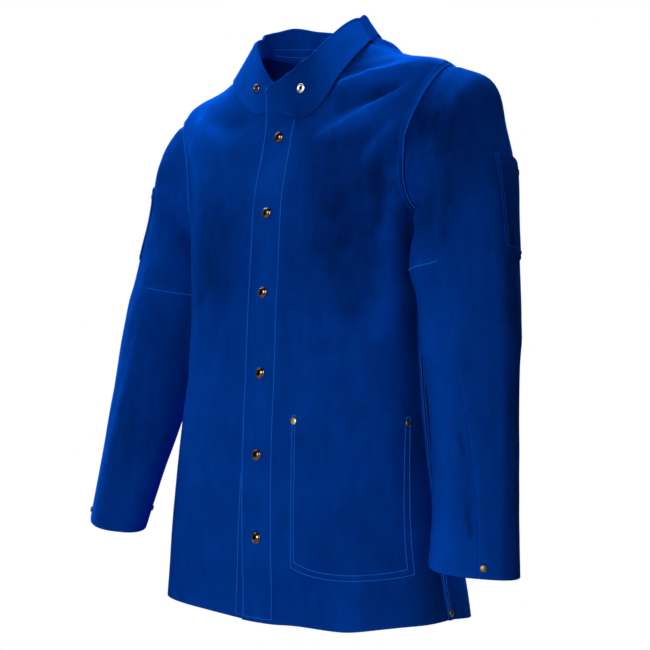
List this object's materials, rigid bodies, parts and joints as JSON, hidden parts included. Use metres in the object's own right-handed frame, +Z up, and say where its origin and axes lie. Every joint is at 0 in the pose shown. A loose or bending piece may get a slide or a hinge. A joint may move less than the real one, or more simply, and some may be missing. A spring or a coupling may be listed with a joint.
{
  "type": "leather welding jacket",
  "caption": "Blue split-leather welding jacket in worn form, with turned-down collar, lapped front with snaps, two-piece sleeves with patch pockets and open neck, cuffs and hem.",
  "frame": {"origin": "the middle of the line between the two points where the shoulder seams meet the collar, where the jacket hangs on the wearer's shoulders", "axes": "+Z up, the wearer faces -Y, +X towards the wearer's left hand"},
  "size_m": [0.6942, 0.2302, 0.806],
  "materials": {
    "blue_leather": "royal blue split leather with a short suede nap",
    "inner_leather": "rough inner side of the blue leather",
    "label_tape": "plain woven tape, no lettering",
    "dark_brass": "dark antique brass, polished dome",
    "nickel": "bright nickel"
  },
  "bodies": {
    "root": {"back_panel": "blue_leather", "front_panel_left": "blue_leather", "front_panel_right": "blue_leather", "collar": "blue_leather", "top_sleeve_left": "blue_leather", "top_sleeve_right": "blue_leather", "under_sleeve_upper_left": "blue_leather", "under_sleeve_upper_right": "blue_leather", "under_sleeve_lower_left": "blue_leather", "under_sleeve_lower_right": "blue_leather", "sleeve_pocket_left": "blue_leather", "sleeve_pocket_right": "blue_leather", "front_facing_left": "inner_leather", "front_facing_right": "inner_leather", "inner_pocket": "inner_leather", "neck_label": "label_tape", "snap_cap_1": "dark_brass", "snap_cap_2": "dark_brass", "snap_cap_3": "dark_brass", "snap_cap_4": "dark_brass", "snap_cap_5": "dark_brass", "snap_cap_6": "dark_brass", "cuff_cap_left": "dark_brass", "cuff_cap_right": "dark_brass", "cuff_stud_left": "dark_brass", "cuff_stud_right": "dark_brass", "pocket_rivet_front": "dark_brass", "pocket_rivet_side": "dark_brass", "hem_rivet_left": "dark_brass", "hem_rivet_right": "dark_brass", "collar_stud": "dark_brass", "collar_socket": "nickel"}
  },
  "joints": []
}
